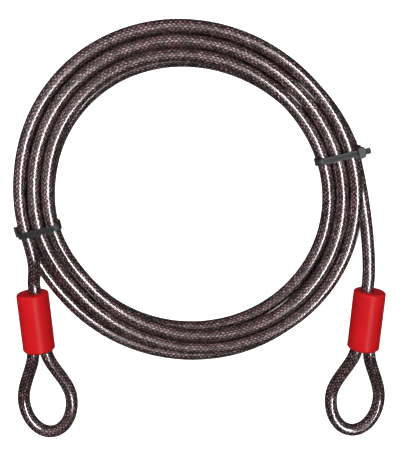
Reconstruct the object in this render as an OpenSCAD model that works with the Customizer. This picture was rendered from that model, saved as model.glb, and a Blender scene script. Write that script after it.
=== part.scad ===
// Coiled security cable with an eye at each end, bundled by two cable ties.
// Millimetres. The origin is the centre of the coil on the surface that it lies
// on, +Z is up and the two eyes point to -Y. Left and right are -X and +X.

/* [Cable] */
// Diameter of the cable over its clear jacket
cable_d = 10; // [8:0.5:12]
// Wall of the clear jacket
jacket_wall = 1; // [0.8:0.1:1.4]
// Play between the wire rope and its jacket, per side
rope_play = 0.1; // [0.05:0.05:0.2]

/* [Coil] */
// Turns of the pile, from the left tie to the right tie
coil_turns = 5.5; // [4.5:1:6.5]
// Turns from the left tie to where the spiral stops going in and comes out again
reversal_turn = 2.64; // [2.55:0.01:2.7]
// Inner radius of the lower layer, to the middle of the cable
lower_r = 102.9; // [95:0.1:115]
// How much wider the upper layer's inner radius is
upper_step = 0.6; // [-1:0.1:1]
// Gap between neighbouring passes of one layer
pass_gap = 0.6; // [0.5:0.1:1.5]
// Gap between the two layers
layer_gap = 0.5; // [0.45:0.05:1.5]
// Direction of the left tie, seen from the centre of the coil
left_tie_angle = 194; // [188:1:200]

/* [Coil sway] */
// How far the upper layer lies off the centre
upper_shift = 4; // [0:0.5:7]
// Direction in which it lies off
upper_shift_angle = -103; // [-120:1:-90]
// How much the upper layer is oval, per side
upper_oval = 3.5; // [0:0.1:5]
// Direction of its long side
upper_oval_angle = -44; // [-55:1:-30]
// How far the lower layer lies off the centre
lower_shift = 11.5; // [8:0.5:14]
// Direction in which it lies off
lower_shift_angle = -109; // [-120:1:-100]
// How much the lower layer is oval, per side
lower_oval = 2.4; // [0:0.1:5]
// Direction of its long side
lower_oval_angle = -38; // [-50:1:-30]

/* [Eyes] */
// Length of an eye from the cover's mouth to the middle of the cable at its end
eye_length = 74.5; // [60:0.5:90]
// Width of an eye between the middles of its two legs
eye_width = 39; // [30:0.5:50]
// Distance from the cover's mouth to the widest place of an eye
eye_widest = 46.5; // [40:0.5:52]
// Gap between the two legs where they leave the cover
leg_gap = 0.4; // [0.3:0.1:1]

/* [Crimp ferrules] */
// Length of a pressed ferrule
ferrule_length = 18; // [14:0.5:20]
// Wall of a ferrule round each rope
ferrule_wall = 1.6; // [1.2:0.1:2]
// Play between a rope and its bore, per side
ferrule_play = 0.1; // [0.05:0.05:0.2]
// Depth of a ferrule's lower end inside the cover
ferrule_depth = 13; // [10:0.5:14]
// Depth of the shallow bands that the press leaves round a ferrule
band_depth = 0.3; // [0.1:0.1:0.5]

/* [Ferrule covers] */
// Length of a cover
cover_length = 48; // [44:0.5:55]
// Wall of a cover at the sides of the ferrule
cover_wall = 1.7; // [1.4:0.1:3]
// Thickness of the closed top
cover_cap = 4; // [2.5:0.5:5]
// Play between a cover's ribs and its ferrule, and round the cable in the top
cover_play = 0.25; // [0.15:0.05:0.4]
// Distance of the cable's hole from the cover's axis, towards the inner side
cover_hole_offset = 2.2; // [1:0.1:3]
// Width of the ribs that hold a cover on its ferrule
cover_rib = 2.4; // [1.5:0.1:4]
// Radius of the rounded edge at the top
cover_round = 1.6; // [0.5:0.1:2.5]
// Chamfer of the edge at the mouth
cover_chamfer = 1.5; // [0.5:0.1:2]
// Lean of both covers outwards, seen from above
cover_lean = 4.5; // [0:0.5:8]
// How far a cover can be pushed up its cable
cover_travel = 5; // [2:0.5:8]

/* [Places of the cable's ends] */
// Distance of the left cover's mouth inside the coil's outer pass, sideways
left_end_in = 10.3; // [8:0.1:13]
// Distance of the left cover's mouth inside the coil's outer pass, lengthways
left_end_up = 3.7; // [2:0.1:7]
// Distance of the right cover's mouth outside the coil's outer pass, sideways
right_end_out = 1.9; // [-2:0.1:6]
// Distance of the right cover's mouth inside the coil's outer pass, lengthways
right_end_up = 5.2; // [2:0.1:10]

/* [Cable ties] */
// Width of a tie's strap
strap_w = 4.8; // [3.6:0.1:6]
// Thickness of a tie's strap
strap_t = 1.3; // [1:0.1:1.6]
// Play between a strap and the cables in it, where they cross it squarely
strap_play = 0.4; // [0.35:0.05:0.6]
// Play between a head and the cable beside it
head_play = 0.6; // [0.5:0.1:1]
// Length of smooth strap from its root to the first tooth
tooth_start = 42; // [10:1:60]
// Distance from one tooth of a strap to the next
tooth_pitch = 1.3; // [1:0.1:2]
// Depth of the channel that the teeth stand in
tooth_depth = 0.5; // [0.3:0.05:0.6]
// Width of the smooth rail on each side of the teeth
strap_rail = 0.9; // [0.6:0.1:1.2]
// Thickness of a tie's head along its slot
head_t = 5; // [4:0.1:6]
// Wall of a head at the ends of its slot, along the strap's width
head_side = 1.5; // [1:0.1:2]
// Depth of a head over its slot, where the pawl sits
head_over = 2.6; // [2.2:0.1:3.5]
// Depth of a head on the slot's other side, towards the cables
head_under = 2.4; // [1.6:0.1:3]
// Length of the cut tail that stands out of the right tie's head
right_stub = 4.4; // [0.5:0.1:6]
// Length of the cut tail that stands out of the left tie's head
left_stub = 0; // [-1:0.1:0]

/* [Hidden] */
$fn = 48;

// Cable and rope as swept tubes
sides = 6;
jacket_r = cable_d / 2;
jacket_bore_r = jacket_r - jacket_wall;
rope_r = jacket_bore_r - rope_play;

// Heights of the two layers: the lower one is cut flat by a tenth of its diameter
lower_z = cable_d * 0.4;
upper_z = lower_z + cable_d + layer_gap;
upper_r = lower_r + upper_step;
pitch = cable_d + pass_gap;

// The pile, followed clockwise from the left tie to the right tie
loop_rings = 24;
total_sweep = 360 * coil_turns;
reversal = 360 * reversal_turn;
dive_half = 75;
drift_half = 90;
drift_lag = 30;
tip_round = 0.04;
coil_out = lower_r + pitch * (coil_turns - reversal_turn);
right_tie_angle = left_tie_angle - total_sweep;

// Ties lift the pile that lies on them
lift_half = 28;
left_lift = head_t + head_play + jacket_r - lower_z;
right_lift = strap_t + strap_play + jacket_r - lower_z;

// Ferrule and cover
leg_x = (cable_d + leg_gap) / 2;
ferrule_bore_r = rope_r + ferrule_play;
ferrule_r = ferrule_bore_r + ferrule_wall;
cover_bore_r = leg_x + ferrule_r + cover_play;
cover_r = cover_bore_r + cover_wall;
hole_r = jacket_r + cover_play;
ferrule_top = ferrule_depth + ferrule_length;
cap_z = cover_length - cover_cap;
// The eye's jacket starts just under the ferrule, the tail's ends just under the cap
jacket_end_gap = 1;
eye_jacket_z = ferrule_depth - jacket_end_gap;
tail_jacket_z = cap_z - jacket_end_gap;
dead_end = 1.5;

// Ties: play round the strap in its slot, wall at the slot's ends where the head is narrowest,
// and how far the teeth's tips lie under the rails
slot_play = 0.2;
head_end = 0.8;
tooth_tip = 0.1;

// Where the two ends lie: [side, x, y] of the cover's mouth
left_end = [-1, -(coil_out - left_end_in), -(coil_out - left_end_up)];
right_end = [1, coil_out + right_end_out, -(coil_out - right_end_up)];

// Handles of the curves in the cable, chosen by eye
straight_start = 1;
tail_handle = [20, 44];
cover_handle = [8, 16];
eye_handle = [14, 16];
rope_handle = 4;

// ---------------------------------------------------------------- functions
function unit(v) = v / norm(v);
function mix(a, b, t) = a + (b - a) * t;
function clamp01(t) = min(max(t, 0), 1);
function ease(t) = let (u = clamp01(t)) u * u * u * (10 - 15 * u + 6 * u * u);
function bezier(a, b, c, d, n) = [for (i = [0 : n]) let (t = i / n, s = 1 - t)
    s * s * s * a + 3 * s * s * t * b + 3 * s * t * t * c + t * t * t * d];
function tail_of(list) = [for (i = [1 : len(list) - 1]) list[i]];
function length_of(p) = len(p) < 2 ? 0
    : let (d = [for (i = [1 : len(p) - 1]) norm(p[i] - p[i - 1])]) d * [for (x = d) 1];

// Shape of one layer: a circle, shifted a little and a little oval
function layer_base(r, shift, shift_angle, oval, oval_angle, a) =
    r + shift * cos(a - shift_angle) + oval * cos(2 * (a - oval_angle));
function upper_base(a) =
    layer_base(upper_r, upper_shift, upper_shift_angle, upper_oval, upper_oval_angle, a);
function lower_base(a) =
    layer_base(lower_r, lower_shift, lower_shift_angle, lower_oval, lower_oval_angle, a);

// Steady spiral in and out again, with the climb in the half turn of the reversal
function pile_angle(s) = left_tie_angle - s;
function pile_r(s) = let (
        a = pile_angle(s),
        drift = ease((s - reversal - drift_lag + drift_half) / (2 * drift_half)),
        turns_off = (s - reversal) / 360
    ) mix(upper_base(a), lower_base(a), drift)
    + pitch * sqrt(turns_off * turns_off + tip_round * tip_round);
function bump(s, at, size) = let (
        off = (s - at) - 360 * round((s - at) / 360)
    ) abs(off) < lift_half ? size * (1 + cos(180 * off / lift_half)) / 2 : 0;
function pile_z(s) =
    mix(upper_z, lower_z, ease((s - reversal + dive_half) / (2 * dive_half)))
    + bump(s, 0, left_lift) + bump(s, total_sweep, right_lift);
function pile_point(s) = let (a = pile_angle(s), r = pile_r(s))
    [r * cos(a), r * sin(a), pile_z(s)];
function clockwise(a) = [sin(a), -cos(a), 0];

// The coil's cable runs on straight for one diameter at both ends
coil_steps = round(coil_turns * loop_rings);
coil_start_dir = clockwise(left_tie_angle);
coil_end_dir = clockwise(right_tie_angle);
coil_start = pile_point(0) - cable_d * coil_start_dir;
coil_end = pile_point(total_sweep) + cable_d * coil_end_dir;
coil_route = concat(
    [coil_start],
    [for (i = [0 : coil_steps]) pile_point(i * total_sweep / coil_steps)],
    [coil_end]
);

// A point in an end's own frame: across to the inner side, along the cover's axis, height
function end_point(end, p) = let (l = cover_lean, side = end[0]) [
    end[1] - side * p[0] * cos(l) + side * p[1] * sin(l),
    end[2] + p[0] * sin(l) + p[1] * cos(l),
    p[2]
];
function end_axis(end) = [end[0] * sin(cover_lean), cos(cover_lean), 0];

// Free stretch from the coil to the cover, then straight on through the cover's cap
function tail_free(end, from, dir, k) = let (
        start = from + dir * straight_start,
        to = end_point(end, [cover_hole_offset, cover_length + cover_travel + 1, cover_r]),
        axis = end_axis(end)
    ) concat([from],
        bezier(start, start + dir * tail_handle[k], to + axis * cover_handle[k], to, 8));
function tail_route(end, from, dir, k) = concat(
    tail_free(end, from, dir, k),
    [end_point(end, [cover_hole_offset, cover_length, cover_r]),
     end_point(end, [cover_hole_offset, tail_jacket_z, cover_r])]
);
// The bare rope goes on, bends to its bore and passes through the ferrule
function tail_rope_route(end, from, dir, k) = concat(
    tail_route(end, from, dir, k),
    tail_of(bezier(
        end_point(end, [cover_hole_offset, tail_jacket_z, cover_r]),
        end_point(end, [cover_hole_offset, tail_jacket_z - rope_handle, cover_r]),
        end_point(end, [leg_x, ferrule_top + rope_handle, cover_r]),
        end_point(end, [leg_x, ferrule_top, cover_r]), 4)),
    [end_point(end, [leg_x, ferrule_depth, cover_r])]
);

// Half of an eye, from the mouth of the cover round to the far end of the loop
function eye_leg(end, side) = let (
        w = eye_width / 2, down = eye_length - eye_widest, k = 0.55,
        p = function (x, y, z) end_point(end, [side * x, -y, z]),
        out = bezier(p(leg_x, 0, cover_r), p(leg_x, eye_handle[0], cover_r),
            p(w, eye_widest - eye_handle[1], lower_z), p(w, eye_widest, lower_z), 8),
        turn = bezier(p(w, eye_widest, lower_z), p(w, eye_widest + down * k, lower_z),
            p(w * k, eye_length, lower_z), p(0, eye_length, lower_z), 8)
    ) concat(out, tail_of(turn));
function reversed(list) = [for (i = [len(list) - 1 : -1 : 0]) list[i]];
function eye_loop(end) = concat(eye_leg(end, 1), tail_of(reversed(eye_leg(end, -1))));
function eye_route(end) = concat(
    [end_point(end, [leg_x, eye_jacket_z, cover_r])],
    eye_loop(end),
    [end_point(end, [-leg_x, eye_jacket_z, cover_r])]
);
function eye_rope_route(end) = concat(
    [end_point(end, [leg_x, ferrule_depth, cover_r])],
    eye_loop(end),
    [end_point(end, [-leg_x, ferrule_depth, cover_r]),
     end_point(end, [-leg_x, ferrule_top + dead_end, cover_r])]
);

// Frames along a route, with flat sides up and down, and its rings
function route_dir(p, i) = let (n = len(p) - 1)
    i == 0 ? unit(p[1] - p[0])
    : i == n ? unit(p[n] - p[n - 1])
    : unit(unit(p[i + 1] - p[i]) + unit(p[i] - p[i - 1]));
function ring(p, i, r) = let (
        t = route_dir(p, i),
        across = unit(cross(t, [0, 0, 1])),
        up = cross(across, t)
    ) [for (k = [0 : sides - 1]) let (
        a = 360 * k / sides,
        q = p[i] + r * (cos(a) * across + sin(a) * up)
    ) [q[0], q[1], max(q[2], 0)]];
function rings(p, r) = [for (i = [0 : len(p) - 1]) each ring(p, i, r)];
function wall(n, first, flip) = [for (i = [0 : n - 2], k = [0 : sides - 1]) let (
        a = first + i * sides + k,
        b = first + i * sides + (k + 1) % sides,
        c = a + sides,
        d = b + sides
    ) each flip ? [[a, b, c], [b, d, c]] : [[a, c, b], [b, c, d]]];
function rim(outer, inner, flip) = [for (k = [0 : sides - 1]) let (
        m = (k + 1) % sides, a = outer + k, b = outer + m, c = inner + k, d = inner + m
    ) each flip ? [[a, c, b], [b, c, d]] : [[a, b, c], [b, d, c]]];
function disc(first, flip) = [for (k = [1 : sides - 2])
    flip ? [first, first + k + 1, first + k] : [first, first + k, first + k + 1]];

// Least gap of a route's cable to itself, between passes at least a quarter turn apart
function least_gap(p) = let (n = len(p), apart = loop_rings / 4)
    min([for (i = [0 : n - 1]) for (j = [i + apart : 1 : n - 1]) norm(p[i] - p[j])]) - cable_d;

// --------------------------------------------------------------- swept forms
module tube(p, r_out, r_in) {
    n = len(p);
    m = n * sides;
    polyhedron(
        points = concat(rings(p, r_out), rings(p, r_in)),
        faces = concat(
            wall(n, 0, false),
            wall(n, m, true),
            rim(0, m, false),
            rim(m - sides, 2 * m - sides, true)
        ),
        convexity = 12
    );
}

module rod(p, r) {
    n = len(p);
    polyhedron(
        points = rings(p, r),
        faces = concat(wall(n, 0, false), disc(0, false), disc((n - 1) * sides, true)),
        convexity = 12
    );
}

module jacket(p) {
    color([0.27, 0.24, 0.26]) tube(p, jacket_r, jacket_bore_r);
}

module wire_rope(p) {
    color([0.42, 0.38, 0.38]) rod(p, rope_r);
}

// Frame of an end: X to the inner side, Z along the cover's axis, the mouth at Z = 0
module at_end(end) {
    translate([end[1], end[2], cover_r])
        rotate([0, 0, -end[0] * cover_lean])
            mirror([end[0] > 0 ? 1 : 0, 0, 0])
                rotate([-90, 0, 0])
                    children();
}

// ------------------------------------------------------------------ the cable
module coil_jacket() {
    jacket(coil_route);
}

module coil_wire_rope() {
    wire_rope(coil_route);
}

module left_tail_jacket() {
    jacket(tail_route(left_end, coil_start, -coil_start_dir, 0));
}

module left_tail_wire_rope() {
    wire_rope(tail_rope_route(left_end, coil_start, -coil_start_dir, 0));
}

module right_tail_jacket() {
    jacket(tail_route(right_end, coil_end, coil_end_dir, 1));
}

module right_tail_wire_rope() {
    wire_rope(tail_rope_route(right_end, coil_end, coil_end_dir, 1));
}

module left_eye_jacket() {
    jacket(eye_route(left_end));
}

module left_eye_wire_rope() {
    wire_rope(eye_rope_route(left_end));
}

module right_eye_jacket() {
    jacket(eye_route(right_end));
}

module right_eye_wire_rope() {
    wire_rope(eye_rope_route(right_end));
}

// ------------------------------------------------- pressed ferrules on the rope
module oval(r, h) {
    for (x = [-leg_x, leg_x]) translate([x, 0, 0]) cylinder(r = r, h = h);
    translate([-leg_x, -r, 0]) cube([2 * leg_x, 2 * r, h]);
}

// Three bands that the press squeezes a little smaller than the rest
module crimp_ferrule() {
    lands = 4;
    land = 2;
    step = (ferrule_length - land) / (lands - 1);
    color([0.72, 0.73, 0.74]) difference() {
        union() {
            oval(ferrule_r - band_depth, ferrule_length);
            for (i = [0 : lands - 1]) translate([0, 0, i * step]) oval(ferrule_r, land);
        }
        for (x = [-leg_x, leg_x])
            translate([x, 0, -1]) cylinder(r = ferrule_bore_r, h = ferrule_length + 2);
    }
}

module left_crimp_ferrule() {
    at_end(left_end) translate([0, 0, ferrule_depth]) crimp_ferrule();
}

module right_crimp_ferrule() {
    at_end(right_end) translate([0, 0, ferrule_depth]) crimp_ferrule();
}

// ---------------------------------------------------- covers over the ferrules
module cover_shell() {
    rotate_extrude() difference() {
        union() {
            polygon([
                [0, 0],
                [cover_r - cover_chamfer, 0],
                [cover_r, cover_chamfer],
                [cover_r, cover_length - cover_round],
                [cover_r - cover_round, cover_length - cover_round],
                [cover_r - cover_round, cover_length],
                [0, cover_length]
            ]);
            intersection() {
                translate([cover_r - cover_round, cover_length - cover_round])
                    circle(cover_round);
                square([cover_r + 1, cover_length + 1]);
            }
        }
        translate([-1, -1]) square([cover_bore_r + 1, cap_z + 1]);
    }
}

// A rib lies against each flat side of the ferrule and stops it from turning
module cover_ribs() {
    rib_z = ferrule_depth - 4;
    rib_in = ferrule_r + cover_play;
    for (s = [-1, 1]) intersection() {
        translate([-cover_rib / 2, s > 0 ? rib_in : -rib_in - cover_bore_r, rib_z])
            cube([cover_rib, cover_bore_r, cap_z - rib_z + 0.5]);
        cylinder(r = cover_bore_r + cover_wall / 2, h = cover_length - 0.5);
    }
}

module ferrule_cover() {
    color([0.85, 0.12, 0.16]) difference() {
        union() {
            cover_shell();
            cover_ribs();
        }
        translate([cover_hole_offset, 0, -1]) cylinder(r = hole_r, h = cover_length + 2);
    }
}

module left_ferrule_cover() {
    at_end(left_end) ferrule_cover();
}

module right_ferrule_cover() {
    at_end(right_end) ferrule_cover();
}

// ------------------------------------------------------------------ cable ties
// The passes at a tie, and the four corners of the pile there: radius and height
function passes(first) = [for (s = [first : 360 : total_sweep + 1]) s];
function upper_passes(first) = [for (s = passes(first)) if (s < reversal) s];
function lower_passes(first) = [for (s = passes(first)) if (s >= reversal) s];
function radii(list) = [for (s = list) pile_r(s)];
// Clockwise in section: outer low, inner low, inner high, outer high
function corners(first, lift) = [
    [max(radii(lower_passes(first))), lower_z + lift],
    [min(radii(lower_passes(first))), lower_z + lift],
    [min(radii(upper_passes(first))), upper_z + lift],
    [max(radii(upper_passes(first))), upper_z + lift]
];

function normal(a, b) = let (d = unit(b - a)) [-d[1], d[0]];
function arc_about(c, r, n0, n1) = let (
        a0 = atan2(n0[1], n0[0]),
        turn = atan2(n0[0] * n1[1] - n0[1] * n1[0], n0 * n1),
        steps = 8
    ) [for (i = [0 : steps]) c + r * [cos(a0 + turn * i / steps), sin(a0 + turn * i / steps)]];
// One face of the strap: q[3] is the corner that the head sits at. The strap starts in the
// head, lies round that corner's cable where the next run leans in, and ends in the head's slot
function strap_line(q, r, start, run) = let (
        exit = unit(q[3] - q[2]),
        first = normal(q[3], q[0]),
        leans_in = exit[0] * first[1] - exit[1] * first[0] < -0.01
    ) concat(
    [q[3] + r * exit + start * normal(q[2], q[3])],
    leans_in ? arc_about(q[3], r, exit, first) : [],
    arc_about(q[0], r, first, normal(q[0], q[1])),
    arc_about(q[1], r, normal(q[0], q[1]), normal(q[1], q[2])),
    arc_about(q[2], r, normal(q[1], q[2]), normal(q[2], q[3])),
    [q[3] + r * normal(q[2], q[3]) + run * unit(q[3] - q[2])]
);

// What the teeth leave open over them, from a little after the strap's root to its end. Each
// tooth stands up steeply towards the root, slopes down behind, and ends just under the rails
function tooth_gaps(p) = let (
        steps = [for (i = [1 : len(p) - 1]) norm(p[i] - p[i - 1])],
        way = [for (i = 0, s = 0; i < len(p); s = s + (i < len(steps) ? steps[i] : 0), i = i + 1) s],
        at = function (s) [for (k = [0, 1])
            lookup(s, [for (i = [0 : len(p) - 1]) [way[i], p[i][k]]])],
        off = function (s, d) at(s) + d * normal(at(s - 0.2), at(s + 0.2)),
        stops = [for (s = [tooth_start : tooth_pitch : way[len(p) - 1] - 0.3]) s],
        last = len(stops) - 1
    ) concat(
    [off(stops[0], -tooth_tip)],
    [for (i = [1 : last - 1]) each [off(stops[i], -tooth_depth), off(stops[i], -tooth_tip)]],
    [off(stops[last], -tooth_depth)],
    [for (s = reversed(stops)) off(s, 1)]
);

module strap(q, inner, root, run) {
    outer = inner + strap_t;
    difference() {
        linear_extrude(strap_w, center = true)
            polygon(concat(
                strap_line(q, inner, root, run),
                reversed(strap_line(q, outer, root, run))
            ));
        linear_extrude(strap_w - 2 * strap_rail, center = true)
            polygon(tooth_gaps(strap_line(q, outer, root, run)));
    }
}

// Head with its slot at Y = 0 to strap_t, X the way that the strap goes through it. It tapers
// towards its far side, where the pawl's chamber is open and the pawl points down to the teeth
module tie_head() {
    slot_w = strap_w + 2 * slot_play;
    head_w = slot_w + 2 * head_side;
    chamber_w = strap_w - 2 * strap_rail + slot_play;
    roof = 0.7;
    pawl_t = 0.8;
    difference() {
        translate([0, strap_t + head_over, 0]) rotate([90, 0, 0])
            linear_extrude(head_under + strap_t + head_over)
                polygon([
                    [0, -head_w / 2], [head_t / 2, -head_w / 2], [head_t, -slot_w / 2 - head_end],
                    [head_t, slot_w / 2 + head_end], [head_t / 2, head_w / 2], [0, head_w / 2]
                ]);
        translate([-1, -slot_play, -slot_w / 2]) cube([head_t + 2, strap_t + 2 * slot_play, slot_w]);
        translate([head_side, strap_t, -chamber_w / 2])
            cube([head_t, head_over - roof, chamber_w]);
    }
    translate([0, strap_t, 0]) linear_extrude(chamber_w - 2 * slot_play, center = true)
        polygon([
            [head_side - 0.5, slot_play + 0.3], [head_t - pawl_t, 0],
            [head_t - pawl_t, pawl_t], [head_side - 0.5, slot_play + 0.3 + pawl_t]
        ]);
}

module cable_tie(angle, q, stub) {
    inner = jacket_r + strap_play;
    head_in = jacket_r + head_play;
    root = inner - head_under + 0.4;
    run = head_in + head_t + stub;
    exit = unit(q[3] - q[2]);
    turn = atan2(exit[1], exit[0]);
    color([0.13, 0.13, 0.14]) rotate([0, 0, angle]) rotate([90, 0, 0]) {
        strap(q, inner, root, run);
        translate([q[3][0], q[3][1], 0]) rotate([0, 0, turn])
            translate([head_in, inner, 0]) tie_head();
    }
}

module left_cable_tie() {
    c = corners(0, left_lift);
    cable_tie(left_tie_angle, [c[1], c[2], c[3], c[0]], left_stub);
}

module right_cable_tie() {
    cable_tie(right_tie_angle, corners(total_sweep % 360, right_lift), right_stub);
}

echo(least_gap_between_passes = least_gap(coil_route));
echo(coil_cable_length = length_of(coil_route));
echo(tail_lengths = [
    length_of(tail_route(left_end, coil_start, -coil_start_dir, 0)),
    length_of(tail_route(right_end, coil_end, coil_end_dir, 1))
]);
echo(eye_length_along_cable = length_of(eye_route(left_end)));

coil_jacket();
coil_wire_rope();
left_tail_jacket();
left_tail_wire_rope();
right_tail_jacket();
right_tail_wire_rope();
left_eye_jacket();
left_eye_wire_rope();
right_eye_jacket();
right_eye_wire_rope();
left_crimp_ferrule();
right_crimp_ferrule();
left_ferrule_cover();
right_ferrule_cover();
left_cable_tie();
right_cable_tie();
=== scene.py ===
"""Looks of a coiled security cable with a padlock eye at each end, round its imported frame."""

import math

import bmesh
import bpy
from mathutils import Matrix, Vector


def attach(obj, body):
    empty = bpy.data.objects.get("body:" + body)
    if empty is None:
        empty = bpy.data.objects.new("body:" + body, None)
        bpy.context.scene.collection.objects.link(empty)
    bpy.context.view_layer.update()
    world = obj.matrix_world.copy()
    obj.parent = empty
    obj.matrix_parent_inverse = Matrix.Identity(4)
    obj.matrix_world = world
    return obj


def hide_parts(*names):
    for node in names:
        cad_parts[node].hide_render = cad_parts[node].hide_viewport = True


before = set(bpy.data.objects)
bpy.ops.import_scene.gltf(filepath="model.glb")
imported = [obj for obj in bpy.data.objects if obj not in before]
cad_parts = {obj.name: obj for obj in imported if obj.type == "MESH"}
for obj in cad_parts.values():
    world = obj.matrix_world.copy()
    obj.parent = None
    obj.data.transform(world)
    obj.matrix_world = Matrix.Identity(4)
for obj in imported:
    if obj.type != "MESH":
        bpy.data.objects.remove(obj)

bl_info = {
    "name": "Coiled cable lock",
    "version": (1, 0, 0),
    "blender": (4, 5, 0),
    "location": "View3D > Sidebar > Cable lock",
    "description": "Wire rope, clear jackets, ferrule covers and cable ties of a coiled cable lock",
    "category": "Object",
}

MM = 0.001

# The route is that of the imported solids, in millimetres and degrees, so it repeats their values
CABLE_D = 10.0
COIL_TURNS = 5.5
REVERSAL_TURN = 2.64
LOWER_R = 102.9
UPPER_STEP = 0.6
UPPER_R = LOWER_R + UPPER_STEP
PASS_GAP = 0.6
PITCH = CABLE_D + PASS_GAP
LAYER_GAP = 0.5
LOWER_Z = 0.4 * CABLE_D
UPPER_Z = LOWER_Z + CABLE_D + LAYER_GAP
LEFT_TIE_ANGLE = 194.0
TOTAL_SWEEP = 360 * COIL_TURNS
REVERSAL = 360 * REVERSAL_TURN
COIL_OUT = LOWER_R + PITCH * (COIL_TURNS - REVERSAL_TURN)
STEPS_PER_TURN = 144

# How each layer lies: off the centre by how much and which way, oval by how much and which way
UPPER_SWAY = (4.0, -103.0, 3.5, -44.0)
LOWER_SWAY = (11.5, -109.0, 2.4, -38.0)
# The stretches over which the spiral dives to the lower layer, takes its sway and turns back
DIVE_HALF = 75.0
DRIFT_HALF = 90.0
DRIFT_LAG = 30.0
TIP_ROUND = 0.04

# The pile lies on the left tie's head and on the right tie's strap, which lift it
GIVE_HALF = 28.0
HEAD_T = 5.0
HEAD_PLAY = 0.6
LEFT_LIFT = HEAD_T + HEAD_PLAY + CABLE_D / 2 - LOWER_Z
STRAP_T = 1.3
STRAP_PLAY = 0.4
RIGHT_LIFT = STRAP_T + STRAP_PLAY + CABLE_D / 2 - LOWER_Z
# It also gives way a little beside the left cover, which can be pushed up past it
ROOM_ANGLE = 213.6
ROOM = 0.5

# The covers, which lean outwards, and what lies in them, measured up from their mouths
COVER_LEAN = math.radians(4.5)
COVER_R = 12.75
COVER_LENGTH = 48.0
COVER_HOLE_OFFSET = 2.2
COVER_TRAVEL = 5.0
ABOVE_COVER = 1.0
FERRULE_DEPTH = 13.0
FERRULE_TOP = 31.0
TAIL_JACKET_Z = 43.0
EYE_JACKET_Z = 12.0
LEG_X = 5.2
DEAD_END = 1.5

# The two ends of the cable: side, and x and y of the cover's mouth
LEFT_END_IN = 10.3
LEFT_END_UP = 3.7
LEFT_END = (-1, -(COIL_OUT - LEFT_END_IN), -(COIL_OUT - LEFT_END_UP))
RIGHT_END_OUT = 1.9
RIGHT_END_UP = 5.2
RIGHT_END = (1, COIL_OUT + RIGHT_END_OUT, -(COIL_OUT - RIGHT_END_UP))

# The eyes, measured down from the covers' mouths
EYE_LENGTH = 74.5
EYE_WIDTH = 39.0
EYE_WIDEST = 46.5
EYE_ROUND = 0.55

# Handles of the curves in the cable, and the steps that each curve gets
STRAIGHT_START = 1.0
TAIL_HANDLE = (20.0, 44.0)
COVER_HANDLE = (8.0, 16.0)
EYE_HANDLE = (14.0, 16.0)
ROPE_HANDLE = 4.0
TAIL_STEPS = 40
EYE_STEPS = 32
BEND_STEPS = 8

# How finely the cable is drawn: the distance between its rings in metres, and its sides
CABLE_RINGS = 3 * MM
EYE_RINGS = 1.6 * MM
ROPE_RINGS = 2.5 * MM
JACKET_SIDES = 24
ROPE_SIDES = 20
# The rope is a hair thicker than the jacket's bore, so that no film of air shows between them
ROPE_OVERLAP = 0.05 * MM

# The braid: wires in each strand, how far they stand out of it, and how steeply a strand
# that comes up between two others rises
STRAND_WIRES = 3
WIRE_RIDGE = 0.08
STRAND_ARCH = 0.6

# The stage: the camera, and each light's place and size in metres
CAMERA_TARGET = Vector((11.6, -33.2, 8.0)) * MM
CAMERA_LENS = 79.8
CAMERA_SENSOR = 36
FLOOR_HALF = 3.0
SOFTBOX = ((-0.15, 0.3, 0.9), (2.6, 0.5))
WINDOW = ((1.1, -0.5, 3.0), (0.6, 2.4))
STRIP = ((-0.4, -0.6, 3.0), (1.6, 0.4))


# ------------------------------------------------------------------ the cable's route
def mix(a, b, t):
    return a + (b - a) * t


def ease(t):
    u = min(max(t, 0.0), 1.0)
    return u * u * u * (10 - 15 * u + 6 * u * u)


def layer_base(radius, sway, angle):
    shift, shift_angle, oval, oval_angle = sway
    return (
        radius
        + shift * math.cos(math.radians(angle - shift_angle))
        + oval * math.cos(2 * math.radians(angle - oval_angle))
    )


def give(s, at, size):
    """How far each turn of the pile gives way to what lies at one place, such as a cable tie."""
    off = (s - at) - 360 * round((s - at) / 360)
    return size * (1 + math.cos(math.pi * off / GIVE_HALF)) / 2 if abs(off) < GIVE_HALF else 0.0


def pile_point(s):
    """A point of the coil, s degrees along from the left tie: in on the upper layer, out below."""
    angle = LEFT_TIE_ANGLE - s
    drift = ease((s - REVERSAL - DRIFT_LAG + DRIFT_HALF) / (2 * DRIFT_HALF))
    turns_off = (s - REVERSAL) / 360
    radius = mix(
        layer_base(UPPER_R, UPPER_SWAY, angle), layer_base(LOWER_R, LOWER_SWAY, angle), drift
    )
    radius += PITCH * math.hypot(turns_off, TIP_ROUND)
    radius -= give(s, LEFT_TIE_ANGLE - ROOM_ANGLE, ROOM)
    dive = ease((s - REVERSAL + DIVE_HALF) / (2 * DIVE_HALF))
    height = mix(UPPER_Z, LOWER_Z, dive) + give(s, 0, LEFT_LIFT) + give(s, TOTAL_SWEEP, RIGHT_LIFT)
    turn = math.radians(angle)
    return Vector((radius * math.cos(turn), radius * math.sin(turn), height))


def clockwise(angle):
    return Vector((math.sin(math.radians(angle)), -math.cos(math.radians(angle)), 0))


def bezier(a, b, c, d, steps):
    points = []
    for i in range(steps + 1):
        t = i / steps
        s = 1 - t
        points.append(s * s * s * a + 3 * s * s * t * b + 3 * s * t * t * c + t * t * t * d)
    return points


def end_point(end, across, along, height):
    """A point in an end's own frame: across to its inner side, along the cover's axis, height."""
    side, x, y = end
    c, s = math.cos(COVER_LEAN), math.sin(COVER_LEAN)
    return Vector(
        (x - side * across * c + side * along * s, y + across * s + along * c, height)
    )


def coil_route():
    steps = round(COIL_TURNS * STEPS_PER_TURN)
    points = [pile_point(i * TOTAL_SWEEP / steps) for i in range(steps + 1)]
    start = points[0] - CABLE_D * clockwise(LEFT_TIE_ANGLE)
    end = points[-1] + CABLE_D * clockwise(LEFT_TIE_ANGLE - TOTAL_SWEEP)
    return [start, *points, end]


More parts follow.
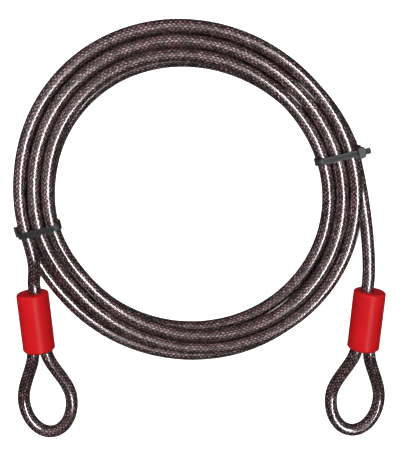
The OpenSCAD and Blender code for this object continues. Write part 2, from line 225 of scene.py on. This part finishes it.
def tail_route(end, corner, direction, k):
    """From the coil's last point into the cover, to the end of the jacket; k picks the handles."""
    start = corner + direction * STRAIGHT_START
    to = end_point(end, COVER_HOLE_OFFSET, COVER_LENGTH + COVER_TRAVEL + ABOVE_COVER, COVER_R)
    axis = Vector((end[0] * math.sin(COVER_LEAN), math.cos(COVER_LEAN), 0))
    free = bezier(
        start, start + direction * TAIL_HANDLE[k], to + axis * COVER_HANDLE[k], to, TAIL_STEPS
    )
    return [*free, end_point(end, COVER_HOLE_OFFSET, TAIL_JACKET_Z, COVER_R)]


def ferrule_route(end):
    """The bare rope from the cap down through the ferrule to the top of the eye."""
    bend = bezier(
        end_point(end, COVER_HOLE_OFFSET, TAIL_JACKET_Z, COVER_R),
        end_point(end, COVER_HOLE_OFFSET, TAIL_JACKET_Z - ROPE_HANDLE, COVER_R),
        end_point(end, LEG_X, FERRULE_TOP + ROPE_HANDLE, COVER_R),
        end_point(end, LEG_X, FERRULE_TOP, COVER_R),
        BEND_STEPS,
    )
    return [*bend[1:], end_point(end, LEG_X, FERRULE_DEPTH, COVER_R)]


def eye_leg(end, side):
    """Half of an eye, from the cover's mouth round to the far end of the loop."""
    half, down = EYE_WIDTH / 2, EYE_LENGTH - EYE_WIDEST
    widest = end_point(end, side * half, -EYE_WIDEST, LOWER_Z)
    out = bezier(
        end_point(end, side * LEG_X, 0, COVER_R),
        end_point(end, side * LEG_X, -EYE_HANDLE[0], COVER_R),
        end_point(end, side * half, EYE_HANDLE[1] - EYE_WIDEST, LOWER_Z),
        widest,
        EYE_STEPS,
    )
    turn = bezier(
        widest,
        end_point(end, side * half, -EYE_WIDEST - down * EYE_ROUND, LOWER_Z),
        end_point(end, side * half * EYE_ROUND, -EYE_LENGTH, LOWER_Z),
        end_point(end, 0, -EYE_LENGTH, LOWER_Z),
        EYE_STEPS,
    )
    return out + turn[1:]


def eye_loop(end):
    return eye_leg(end, 1) + eye_leg(end, -1)[-2::-1]


def cable_route():
    """The middle of the jacketed cable from one cover's cap to the other's, in millimetres."""
    coil = coil_route()
    left = tail_route(LEFT_END, coil[0], -clockwise(LEFT_TIE_ANGLE), 0)
    right = tail_route(RIGHT_END, coil[-1], clockwise(LEFT_TIE_ANGLE - TOTAL_SWEEP), 1)
    return left[::-1] + coil + right


def eye_route(end):
    return [
        end_point(end, LEG_X, EYE_JACKET_Z, COVER_R),
        *eye_loop(end),
        end_point(end, -LEG_X, EYE_JACKET_Z, COVER_R),
    ]


def rope_end_route(end):
    """The rope from the cap on: down through the ferrule, round the eye and back into it."""
    return [
        *ferrule_route(end),
        *eye_loop(end),
        end_point(end, -LEG_X, FERRULE_DEPTH, COVER_R),
        end_point(end, -LEG_X, FERRULE_TOP + DEAD_END, COVER_R),
    ]


def rope_route():
    return rope_end_route(LEFT_END)[::-1] + cable_route() + rope_end_route(RIGHT_END)


# -------------------------------------------------------------------- materials' tools
def linear(code):
    """An sRGB hex colour as Blender's linear red, green, blue and alpha."""
    parts = [int(code[i : i + 2], 16) / 255 for i in (1, 3, 5)]
    return (*[c / 12.92 if c <= 0.04045 else ((c + 0.055) / 1.055) ** 2.4 for c in parts], 1.0)


def add_node(tree, kind, inputs=None, **settings):
    """A node with its settings; inputs gives each socket a value or the socket it is fed by."""
    node = tree.nodes.new(kind)
    for name, value in settings.items():
        setattr(node, name, value)
    for key, value in (inputs or {}).items():
        if isinstance(value, bpy.types.NodeSocket):
            tree.links.new(value, node.inputs[key])
        else:
            node.inputs[key].default_value = value
    return node


def new_material(name, color):
    material = bpy.data.materials.new(name)
    material.use_nodes = True
    material.diffuse_color = color
    return material, material.node_tree, material.node_tree.nodes["Principled BSDF"]


def set_ramp(node, stops):
    ramp = node.color_ramp
    while len(ramp.elements) < len(stops):
        ramp.elements.new(0.5)
    for element, (position, color) in zip(ramp.elements, stops):
        element.position = position
        element.color = color


# -------------------------------------------------------------------------- materials
def weave(tree, settings):
    """Heights of a two-over, two-under braid on the rope's UV map, plain and with the wires
    in each strand, and the cell of the braid that a point lies in."""
    uv = add_node(tree, "ShaderNodeUVMap", uv_map="UVMap")
    cells = add_node(
        tree,
        "ShaderNodeVectorMath",
        {0: uv.outputs[0], 1: (settings.strands, 1 / settings.dash_length, 0)},
        operation="MULTIPLY",
    )
    rising = add_node(
        tree, "ShaderNodeVectorMath", {0: cells.outputs[0], 1: (1, 1, 0)}, operation="DOT_PRODUCT"
    )
    falling = add_node(
        tree, "ShaderNodeVectorMath", {0: cells.outputs[0], 1: (1, -1, 0)}, operation="DOT_PRODUCT"
    )
    lattice = add_node(
        tree, "ShaderNodeCombineXYZ", {"X": rising.outputs["Value"], "Y": falling.outputs["Value"]}
    )
    cell = add_node(tree, "ShaderNodeVectorMath", {0: lattice.outputs[0]}, operation="FLOOR")
    place = add_node(tree, "ShaderNodeVectorMath", {0: lattice.outputs[0]}, operation="FRACTION")
    # Each strand lies over two others and then under two: cells 0 and 1 of four belong to the
    # strands of one direction, 2 and 3 to those of the other
    count = add_node(
        tree, "ShaderNodeVectorMath", {0: cell.outputs[0], 1: (1, 1, 0)}, operation="DOT_PRODUCT"
    )
    of_four = add_node(
        tree, "ShaderNodeMath", {0: count.outputs["Value"], 1: 4.0}, operation="FLOORED_MODULO"
    )
    on_top = add_node(
        tree, "ShaderNodeMath", {0: of_four.outputs[0], 1: 1.5}, operation="GREATER_THAN"
    )
    second_half = add_node(
        tree, "ShaderNodeMath", {0: of_four.outputs[0], 1: 2.0}, operation="FLOORED_MODULO"
    )
    split = add_node(tree, "ShaderNodeSeparateXYZ", {0: place.outputs[0]})
    across = add_node(
        tree, "ShaderNodeMix", {0: on_top.outputs[0], 2: split.outputs["X"], 3: split.outputs["Y"]}
    )
    along = add_node(
        tree, "ShaderNodeMix", {0: on_top.outputs[0], 2: split.outputs["Y"], 3: split.outputs["X"]}
    )
    far_along = add_node(
        tree, "ShaderNodeMath", {0: along.outputs[0], 1: second_half.outputs[0]}, operation="ADD"
    )
    # A strand is round across, and an arch along the two cells in which it lies on top
    turn_across = add_node(
        tree, "ShaderNodeMath", {0: across.outputs[0], 1: math.pi}, operation="MULTIPLY"
    )
    turn_along = add_node(
        tree, "ShaderNodeMath", {0: far_along.outputs[0], 1: math.pi / 2}, operation="MULTIPLY"
    )
    round_across = add_node(tree, "ShaderNodeMath", {0: turn_across.outputs[0]}, operation="SINE")
    round_along = add_node(tree, "ShaderNodeMath", {0: turn_along.outputs[0]}, operation="SINE")
    arch = add_node(
        tree, "ShaderNodeMath", {0: round_along.outputs[0], 1: STRAND_ARCH}, operation="POWER"
    )
    height = add_node(
        tree,
        "ShaderNodeMath",
        {0: round_across.outputs[0], 1: arch.outputs[0]},
        operation="MULTIPLY",
    )
    # Wires lie side by side in each strand
    wire_turn = add_node(
        tree,
        "ShaderNodeMath",
        {0: turn_across.outputs[0], 1: 2.0 * STRAND_WIRES},
        operation="MULTIPLY",
    )
    wires = add_node(tree, "ShaderNodeMath", {0: wire_turn.outputs[0]}, operation="COSINE")
    ridged = add_node(
        tree,
        "ShaderNodeMath",
        {0: wires.outputs[0], 1: -WIRE_RIDGE, 2: height.outputs[0]},
        operation="MULTIPLY_ADD",
    )
    return height.outputs[0], ridged.outputs[0], cell.outputs[0]


def braided_wire(settings):
    """Braided galvanised steel wire, oiled and dark, in a fine criss-cross along the rope: a
    painted highlight makes each strand a short bright dash where it lies on top, and painted
    shade darkens the gaps between strands. The braid is drawn a little coarser than the real
    wires, so that it shows."""
    material, tree, shader = new_material("braided_steel_wire", settings.wire_color[:] + (1,))
    height, ridged, cell = weave(tree, settings)
    # Painted highlight: each strand's painted sheen gets a random strength of its own
    chance = add_node(tree, "ShaderNodeTexWhiteNoise", {"Vector": cell})
    sheen = add_node(
        tree,
        "ShaderNodeMapRange",
        {"Value": chance.outputs["Value"], "To Min": 0.55, "To Max": 1.05},
    )
    lit = add_node(tree, "ShaderNodeMath", {0: height, 1: sheen.outputs[0]}, operation="MULTIPLY")
    # Painted light by the braid's height: painted shade deep between the strands, then the wire's
    # colour, then a painted highlight on top
    ramp = add_node(tree, "ShaderNodeValToRGB", {"Fac": lit.outputs[0]})
    set_ramp(
        ramp,
        [
            (0.33, settings.painted_gap_shade[:] + (1,)),
            (0.58, settings.wire_color[:] + (1,)),
            (0.95, settings.painted_wire_highlight[:] + (1,)),
        ],
    )
    bump = add_node(
        tree, "ShaderNodeBump", {"Height": ridged, "Distance": 0.35 * MM, "Strength": 0.8}
    )
    tree.links.new(ramp.outputs["Color"], shader.inputs["Base Color"])
    tree.links.new(bump.outputs[0], shader.inputs["Normal"])
    shader.inputs["Metallic"].default_value = 0.55
    shader.inputs["Roughness"].default_value = 0.38
    return material


def clear_pvc(settings):
    """Extruded soft PVC, clear with a smoky tint: glossy, so it shows long bright reflections
    that waver a little where the skin follows the rope. The coat stands for the shine of the
    tube's inner wall, which lies close under the outer one."""
    color = settings.jacket_tint[:] + (1,)
    material, tree, shader = new_material("clear_pvc", color)
    coordinates = add_node(tree, "ShaderNodeTexCoord")
    waver = add_node(
        tree,
        "ShaderNodeTexNoise",
        {"Vector": coordinates.outputs["Object"], "Scale": 1 / (30 * MM), "Detail": 1.0},
    )
    bump = add_node(
        tree,
        "ShaderNodeBump",
        {"Height": waver.outputs[0], "Distance": 0.15 * MM, "Strength": 0.15},
    )
    tree.links.new(bump.outputs[0], shader.inputs["Normal"])
    shader.inputs["Base Color"].default_value = color
    shader.inputs["Roughness"].default_value = 0.2
    shader.inputs["IOR"].default_value = 1.53
    shader.inputs["Transmission Weight"].default_value = 1.0
    shader.inputs["Coat Weight"].default_value = 1.0
    shader.inputs["Coat Roughness"].default_value = 0.2
    shader.inputs["Coat IOR"].default_value = 1.6
    return material


def moulded_pvc(settings):
    """Injection-moulded coloured PVC: semi-gloss, with a very fine grain from the mould."""
    color = settings.cover_color[:] + (1,)
    material, tree, shader = new_material("moulded_red_pvc", color)
    coordinates = add_node(tree, "ShaderNodeTexCoord")
    grain = add_node(
        tree,
        "ShaderNodeTexNoise",
        {"Vector": coordinates.outputs["Object"], "Scale": 1 / (0.7 * MM), "Detail": 3.0},
    )
    flow = add_node(
        tree,
        "ShaderNodeTexNoise",
        {"Vector": coordinates.outputs["Object"], "Scale": 1 / (14 * MM), "Detail": 2.0},
    )
    shade = add_node(tree, "ShaderNodeValToRGB", {"Fac": flow.outputs[0]})
    darker = tuple(c * 0.9 for c in settings.cover_color) + (1,)
    set_ramp(shade, [(0.35, darker), (0.65, color)])
    bump = add_node(
        tree,
        "ShaderNodeBump",
        {"Height": grain.outputs[0], "Distance": 0.05 * MM, "Strength": 0.25},
    )
    tree.links.new(shade.outputs["Color"], shader.inputs["Base Color"])
    tree.links.new(bump.outputs[0], shader.inputs["Normal"])
    shader.inputs["Roughness"].default_value = 0.35
    shader.inputs["Specular IOR Level"].default_value = 0.05
    return material


def nylon(settings):
    """Moulded nylon 6/6, black gone grey: satin, with fine flow marks along the strap."""
    color = settings.tie_color[:] + (1,)
    material, tree, shader = new_material("black_nylon", color)
    coordinates = add_node(tree, "ShaderNodeTexCoord")
    grain = add_node(
        tree,
        "ShaderNodeTexNoise",
        {"Vector": coordinates.outputs["Object"], "Scale": 1 / (1.2 * MM), "Detail": 3.0},
    )
    bump = add_node(
        tree,
        "ShaderNodeBump",
        {"Height": grain.outputs[0], "Distance": 0.08 * MM, "Strength": 0.4},
    )
    tree.links.new(bump.outputs[0], shader.inputs["Normal"])
    shader.inputs["Base Color"].default_value = color
    shader.inputs["Roughness"].default_value = 0.45
    shader.inputs["Specular IOR Level"].default_value = 0.22
    return material


def pressed_aluminium():
    """Aluminium sleeve, pressed in a die: dull, with fine scratches."""
    color = linear("#b9bbbd")
    material, tree, shader = new_material("pressed_aluminium", color)
    coordinates = add_node(tree, "ShaderNodeTexCoord")
    marks = add_node(
        tree,
        "ShaderNodeTexNoise",
        {"Vector": coordinates.outputs["Object"], "Scale": 1 / (0.8 * MM), "Detail": 4.0},
    )
    rough = add_node(
        tree,
        "ShaderNodeMapRange",
        {"Value": marks.outputs[0], "To Min": 0.3, "To Max": 0.5},
    )
    tree.links.new(rough.outputs[0], shader.inputs["Roughness"])
    shader.inputs["Base Color"].default_value = color
    shader.inputs["Metallic"].default_value = 1.0
    return material


# ----------------------------------------------------------------- the cable as a tree
def cable_tree():
    """Geometry nodes that lay a round cable along a curve, flat where it rests on the floor."""
    name = "Cable along a curve"
    if name in bpy.data.node_groups:
        return bpy.data.node_groups[name]
    tree = bpy.data.node_groups.new(name, "GeometryNodeTree")
    for label, kind, direction in (
        ("Curve", "NodeSocketGeometry", "INPUT"),
        ("Radius", "NodeSocketFloat", "INPUT"),
        ("Ring spacing", "NodeSocketFloat", "INPUT"),
        ("Sides", "NodeSocketInt", "INPUT"),
        ("Material", "NodeSocketMaterial", "INPUT"),
        ("Cable", "NodeSocketGeometry", "OUTPUT"),
    ):
        tree.interface.new_socket(label, in_out=direction, socket_type=kind)
    given = add_node(tree, "NodeGroupInput")
    steps = add_node(
        tree,
        "GeometryNodeResampleCurve",
        {"Curve": given.outputs["Curve"], "Length": given.outputs["Ring spacing"]},
        mode="LENGTH",
    )
    level = add_node(
        tree, "GeometryNodeSetCurveNormal", {"Curve": steps.outputs[0]}, mode="Z_UP"
    )
    way = add_node(tree, "GeometryNodeSplineParameter")
    route = add_node(
        tree,
        "GeometryNodeStoreNamedAttribute",
        {"Geometry": level.outputs[0], "Name": "along", "Value": way.outputs["Length"]},
    )
    circle = add_node(
        tree,
        "GeometryNodeCurvePrimitiveCircle",
        {"Resolution": given.outputs["Sides"], "Radius": given.outputs["Radius"]},
    )
    turn = add_node(tree, "GeometryNodeSplineParameter")
    profile = add_node(
        tree,
        "GeometryNodeStoreNamedAttribute",
        {"Geometry": circle.outputs[0], "Name": "around", "Value": turn.outputs["Factor"]},
    )
    swept = add_node(
        tree,
        "GeometryNodeCurveToMesh",
        {"Curve": route.outputs[0], "Profile Curve": profile.outputs[0], "Fill Caps": True},
    )
    position = add_node(tree, "GeometryNodeInputPosition")
    parts = add_node(tree, "ShaderNodeSeparateXYZ", {0: position.outputs[0]})
    above = add_node(
        tree, "ShaderNodeMath", {0: parts.outputs["Z"], 1: 0.0}, operation="MAXIMUM"
    )
    place = add_node(
        tree,
        "ShaderNodeCombineXYZ",
        {"X": parts.outputs["X"], "Y": parts.outputs["Y"], "Z": above.outputs[0]},
    )
    rested = add_node(
        tree,
        "GeometryNodeSetPosition",
        {"Geometry": swept.outputs[0], "Position": place.outputs[0]},
    )
    smooth = add_node(tree, "GeometryNodeSetShadeSmooth", {"Geometry": rested.outputs[0]})
    real = add_node(tree, "GeometryNodeRealizeInstances", {"Geometry": smooth.outputs[0]})
    finished = add_node(
        tree,
        "GeometryNodeSetMaterial",
        {"Geometry": real.outputs[0], "Material": given.outputs["Material"]},
    )
    add_node(tree, "NodeGroupOutput", {0: finished.outputs[0]})
    return tree


def socket_of(tree, name):
    return next(i.identifier for i in tree.interface.items_tree if i.name == name)


def lay_cable(name, points, radius, spacing, sides, material):
    """A closed round cable along points in millimetres, as a mesh with a UV map in metres along."""
    curve = bpy.data.curves.new(name + "_route", "CURVE")
    curve.dimensions = "3D"
    spline = curve.splines.new("POLY")
    spline.points.add(len(points) - 1)
    for point, at in zip(spline.points, points):
        point.co = (*(at * MM), 1.0)
    source = bpy.data.objects.new(name + "_route", curve)
    bpy.context.scene.collection.objects.link(source)
    tree = cable_tree()
    modifier = source.modifiers.new("Cable", "NODES")
    modifier.node_group = tree
    for label, value in (
        ("Radius", radius),
        ("Ring spacing", spacing),
        ("Sides", sides),
        ("Material", material),
    ):
        modifier[socket_of(tree, label)] = value
    bpy.context.view_layer.update()
    graph = bpy.context.evaluated_depsgraph_get()
    mesh = bpy.data.meshes.new_from_object(source.evaluated_get(graph), depsgraph=graph)
    bpy.data.objects.remove(source)
    bpy.data.curves.remove(curve)
    mesh.name = name
    piece = bpy.data.objects.new(name, mesh)
    bpy.context.scene.collection.objects.link(piece)
    unwrap_along(mesh)
    return piece


def unwrap_along(mesh):
    """UV map of a swept tube: one turn round it in U, metres along it in V."""
    along = mesh.attributes["along"].data
    around = mesh.attributes["around"].data
    layer = mesh.uv_layers.new(name="UVMap")
    for polygon in mesh.polygons:
        corners = [mesh.loops[i].vertex_index for i in polygon.loop_indices]
        turns = [around[v].value for v in corners]
        wraps = max(turns) - min(turns) > 0.5 and len(corners) == 4
        for i, v, turn in zip(polygon.loop_indices, corners, turns):
            layer.data[i].uv = (turn + 1 if wraps and turn < 0.5 else turn, along[v].value)
    for name in ("along", "around"):
        mesh.attributes.remove(mesh.attributes[name])


def give_wall(piece, wall):
    """Makes a closed tube hollow: the end discs go and the skin gets its thickness inwards."""
    mesh = piece.data
    shell = bmesh.new()
    shell.from_mesh(mesh)
    ends = [face for face in shell.faces if len(face.verts) > 4]
    bmesh.ops.delete(shell, geom=ends, context="FACES_ONLY")
    shell.to_mesh(mesh)
    shell.free()
    solidify = piece.modifiers.new("Wall", "SOLIDIFY")
    solidify.thickness = wall
    solidify.offset = -1
    solidify.use_rim = True
    bpy.context.view_layer.update()
    graph = bpy.context.evaluated_depsgraph_get()
    hollow = bpy.data.meshes.new_from_object(piece.evaluated_get(graph), depsgraph=graph)
    piece.modifiers.remove(solidify)
    piece.data = hollow
    bpy.data.meshes.remove(mesh)
    hollow.name = piece.name


# --------------------------------------------------------------------------- settings
class CableSettings(bpy.types.PropertyGroup):
    diameter: bpy.props.FloatProperty(
        name="Diameter", description="Over the clear jacket", default=CABLE_D * MM,
        min=0.004, max=0.02, unit="LENGTH", precision=4,
    )
    wall: bpy.props.FloatProperty(
        name="Jacket wall", description="Thickness of the clear jacket", default=1 * MM,
        min=0.0004, max=0.003, unit="LENGTH", precision=4,
    )
    strands: bpy.props.IntProperty(
        name="Strands", description="Strands of the braid in each direction, an even number",
        default=14, min=6, max=40,
    )
    dash_length: bpy.props.FloatProperty(
        name="Dash length", description="Length of one cell of the braid along the rope",
        default=3.4 * MM, min=0.001, max=0.02, unit="LENGTH", precision=4,
    )
    jacket_tint: bpy.props.FloatVectorProperty(
        name="Jacket tint", description="Colour of the clear PVC", subtype="COLOR",
        default=linear("#efe8eb")[:3], min=0, max=1,
    )
    # Painted shade: the colour that the braid's ramp gives deep between the strands
    painted_gap_shade: bpy.props.FloatVectorProperty(
        name="Between strands", description="Colour deep between the strands", subtype="COLOR",
        default=linear("#160708")[:3], min=0, max=1,
    )
    wire_color: bpy.props.FloatVectorProperty(
        name="Wire", description="Colour of the wire", subtype="COLOR",
        default=linear("#664549")[:3], min=0, max=1,
    )
    # Painted highlight: the colour that the braid's ramp gives where the wire lies on top
    painted_wire_highlight: bpy.props.FloatVectorProperty(
        name="Wire on top", description="Colour of the wire where it lies on top",
        subtype="COLOR", default=linear("#dcb2b6")[:3], min=0, max=1,
    )


class EndSettings(bpy.types.PropertyGroup):
    cover_color: bpy.props.FloatVectorProperty(
        name="Cover", description="Colour of the ferrule covers", subtype="COLOR",
        default=linear("#b4161b")[:3], min=0, max=1,
    )


class TieSettings(bpy.types.PropertyGroup):
    tie_color: bpy.props.FloatVectorProperty(
        name="Tie", description="Colour of the cable ties", subtype="COLOR",
        default=linear("#252625")[:3], min=0, max=1,
    )


class StageSettings(bpy.types.PropertyGroup):
    floor_color: bpy.props.FloatVectorProperty(
        name="Floor", description="Colour of the floor", subtype="COLOR",
        default=linear("#f2f2f2")[:3], min=0, max=1,
    )
    floor_glow: bpy.props.FloatProperty(
        name="Floor glow", description="Brightness of the lit floor by itself", default=0.9,
        min=0, max=5,
    )
    fill: bpy.props.FloatProperty(
        name="Fill", description="Strength of the light from all round", default=0.05, min=0, max=5,
    )
    softbox_power: bpy.props.FloatProperty(
        name="Softbox", description="Power of the overhead softbox", default=32.0,
        min=0, max=500, unit="POWER",
    )
    window_power: bpy.props.FloatProperty(
        name="Window", description="Power of the light that the jackets mirror", default=165.0,
        min=0, max=2000, unit="POWER",
    )
    strip_power: bpy.props.FloatProperty(
        name="Strip", description="Power of the dimmer light beside the window", default=3.0,
        min=0, max=500, unit="POWER",
    )
    camera_distance: bpy.props.FloatProperty(
        name="Camera distance", description="From the camera to the middle of the view",
        default=0.8, min=0.2, max=5, unit="LENGTH",
    )
    camera_tilt: bpy.props.FloatProperty(
        name="Camera tilt", description="Off the vertical, towards the top of the coil",
        default=math.radians(14), subtype="ANGLE",
    )


# -------------------------------------------------------------------------- operators
class CABLELOCK_OT_stage(bpy.types.Operator):
    """Make the floor, the lights and the camera"""

    bl_idname = "cable_lock.stage"
    bl_label = "Stage"

    def execute(self, context):
        settings = context.scene.cable_lock_stage
        self.make_camera(context.scene, settings)
        self.make_floor(settings)
        self.make_lights(context.scene, settings)
        return {"FINISHED"}

    def make_camera(self, scene, settings):
        """Nearly straight above, tilted a little towards the coil's far side."""
        data = bpy.data.cameras.new("camera")
        data.lens = CAMERA_LENS
        data.sensor_width = CAMERA_SENSOR
        camera = bpy.data.objects.new("camera", data)
        tilt = settings.camera_tilt
        back = Vector((0, math.sin(tilt), math.cos(tilt)))
        up = Vector((0, math.cos(tilt), -math.sin(tilt)))
        turn = Matrix((Vector((1, 0, 0)), up, back)).transposed().to_4x4()
        place = CAMERA_TARGET + back * settings.camera_distance
        camera.matrix_world = Matrix.Translation(place) @ turn
        scene.collection.objects.link(camera)
        scene.camera = camera

    def make_floor(self, settings):
        mesh = bpy.data.meshes.new("floor")
        half = FLOOR_HALF
        corners = [(-half, -half, 0), (half, -half, 0), (half, half, 0), (-half, half, 0)]
        mesh.from_pydata(corners, [], [(0, 1, 2, 3)])
        floor = bpy.data.objects.new("floor", mesh)
        bpy.context.scene.collection.objects.link(floor)
        color = settings.floor_color[:] + (1,)
        material, tree, shader = new_material("lit_white_acrylic", color)
        shader.inputs["Base Color"].default_value = color
        shader.inputs["Roughness"].default_value = 0.9
        shader.inputs["Specular IOR Level"].default_value = 0.2
        shader.inputs["Emission Color"].default_value = (1, 1, 1, 1)
        shader.inputs["Emission Strength"].default_value = settings.floor_glow
        mesh.materials.append(material)
        # Only the camera sees the glow, so that it draws no pale rims on the jackets
        floor.visible_diffuse = False
        floor.visible_glossy = False
        floor.visible_transmission = False

    def make_lights(self, scene, settings):
        """A softbox lights all but the gloss; a far window and a dimmer strip beside it draw
        the streaks on the jackets."""
        world = bpy.data.worlds.new("studio")
        world.use_nodes = True
        tree = world.node_tree
        background = tree.nodes["Background"]
        background.inputs["Color"].default_value = (1, 1, 1, 1)
        # The camera sees a white backdrop; all else gets the fill light
        path = add_node(tree, "ShaderNodeLightPath")
        strength = add_node(
            tree,
            "ShaderNodeMix",
            {0: path.outputs["Is Camera Ray"], 2: settings.fill, 3: 1.0},
        )
        tree.links.new(strength.outputs[0], background.inputs["Strength"])
        scene.world = world
        self.make_area("softbox", *SOFTBOX, settings.softbox_power, False)
        self.make_area("window", *WINDOW, settings.window_power, True)
        self.make_area("strip", *STRIP, settings.strip_power, True)

    def make_area(self, name, place, size, power, gloss_only):
        data = bpy.data.lights.new(name, "AREA")
        data.shape = "RECTANGLE"
        data.size, data.size_y = size
        data.energy = power
        lamp = bpy.data.objects.new(name, data)
        lamp.location = place
        lamp.visible_glossy = gloss_only
        lamp.visible_diffuse = not gloss_only
        lamp.visible_transmission = not gloss_only
        lamp.visible_camera = False
        bpy.context.scene.collection.objects.link(lamp)


class CABLELOCK_OT_jackets(bpy.types.Operator):
    """Make the clear jackets of the cable and of both eyes"""

    bl_idname = "cable_lock.jackets"
    bl_label = "Clear jackets"

    def execute(self, context):
        settings = context.scene.cable_lock_cable
        material = clear_pvc(settings)
        left_top = end_point(LEFT_END, COVER_HOLE_OFFSET, COVER_LENGTH, COVER_R)
        self.make_jacket(
            settings, material, "cable_jacket", cable_route(), CABLE_RINGS, left_top, "coiled",
            ("left_tail_jacket", "coil_jacket", "right_tail_jacket"),
        )
        for side, end in (("left", LEFT_END), ("right", RIGHT_END)):
            mouth = end_point(end, LEG_X, 0, COVER_R)
            self.make_jacket(
                settings, material, side + "_eye_clear_jacket", eye_route(end), EYE_RINGS, mouth,
                "loose", (side + "_eye_jacket",),
            )
        return {"FINISHED"}

    def make_jacket(self, settings, material, name, route, rings, exit_point, lay, nodes):
        """A hollow jacket along its route, in place of the imported nodes, which it hides."""
        piece = lay_cable(name, route, settings.diameter / 2, rings, JACKET_SIDES, material)
        give_wall(piece, settings.wall)
        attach(piece, "cable")
        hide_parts(*nodes)


class CABLELOCK_OT_wire_rope(bpy.types.Operator):
    """Make the braided wire rope, one length from eye to eye"""

    bl_idname = "cable_lock.wire_rope"
    bl_label = "Wire rope"

    def execute(self, context):
        settings = context.scene.cable_lock_cable
        radius = settings.diameter / 2 - settings.wall + ROPE_OVERLAP
        material = braided_wire(settings)
        rope = lay_cable(
            "braided_wire_rope", rope_route(), radius, ROPE_RINGS, ROPE_SIDES, material
        )
        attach(rope, "cable")
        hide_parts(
            "left_eye_wire_rope",
            "left_tail_wire_rope",
            "coil_wire_rope",
            "right_tail_wire_rope",
            "right_eye_wire_rope",
        )
        return {"FINISHED"}


def paint(nodes, material):
    for name in nodes:
        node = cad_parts[name]
        node.data.materials.clear()
        node.data.materials.append(material)


class CABLELOCK_OT_ends(bpy.types.Operator):
    """Finish the pressed ferrules and their moulded covers"""

    bl_idname = "cable_lock.ends"
    bl_label = "Ferrules and covers"

    def execute(self, context):
        settings = context.scene.cable_lock_ends
        paint(("left_crimp_ferrule", "right_crimp_ferrule"), pressed_aluminium())
        paint(("left_ferrule_cover", "right_ferrule_cover"), moulded_pvc(settings))
        return {"FINISHED"}


class CABLELOCK_OT_ties(bpy.types.Operator):
    """Finish the cable ties"""

    bl_idname = "cable_lock.ties"
    bl_label = "Cable ties"

    def execute(self, context):
        paint(("left_cable_tie", "right_cable_tie"), nylon(context.scene.cable_lock_ties))
        return {"FINISHED"}


class CABLELOCK_PT_panel(bpy.types.Panel):
    """Sizes, colours and makers of the cable lock's pieces"""

    bl_idname = "CABLELOCK_PT_panel"
    bl_label = "Cable lock"
    bl_space_type = "VIEW_3D"
    bl_region_type = "UI"
    bl_category = "Cable lock"

    def draw(self, context):
        for operators, settings in SECTIONS:
            box = self.layout.box()
            group = getattr(context.scene, settings)
            for name in type(group).__annotations__:
                box.prop(group, name)
            for operator in operators:
                box.operator(operator.bl_idname)


# Operators in the order that main calls them, with the settings that they read
SECTIONS = (
    ((CABLELOCK_OT_stage,), "cable_lock_stage"),
    ((CABLELOCK_OT_jackets, CABLELOCK_OT_wire_rope), "cable_lock_cable"),
    ((CABLELOCK_OT_ends,), "cable_lock_ends"),
    ((CABLELOCK_OT_ties,), "cable_lock_ties"),
)
GROUPS = {
    "cable_lock_stage": StageSettings,
    "cable_lock_cable": CableSettings,
    "cable_lock_ends": EndSettings,
    "cable_lock_ties": TieSettings,
}


def register():
    for name, group in GROUPS.items():
        bpy.utils.register_class(group)
        setattr(bpy.types.Scene, name, bpy.props.PointerProperty(type=group))
    for operators, _ in SECTIONS:
        for operator in operators:
            bpy.utils.register_class(operator)
    bpy.utils.register_class(CABLELOCK_PT_panel)


def unregister():
    bpy.utils.unregister_class(CABLELOCK_PT_panel)
    for operators, _ in SECTIONS:
        for operator in operators:
            bpy.utils.unregister_class(operator)
    for name, group in GROUPS.items():
        delattr(bpy.types.Scene, name)
        bpy.utils.unregister_class(group)


def main():
    register()
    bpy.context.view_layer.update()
    bpy.context.scene.view_settings.view_transform = "Standard"
    for operators, _ in SECTIONS:
        for operator in operators:
            group, name = operator.bl_idname.split(".")
            getattr(getattr(bpy.ops, group), name)()


if __name__ == "__main__":
    main()
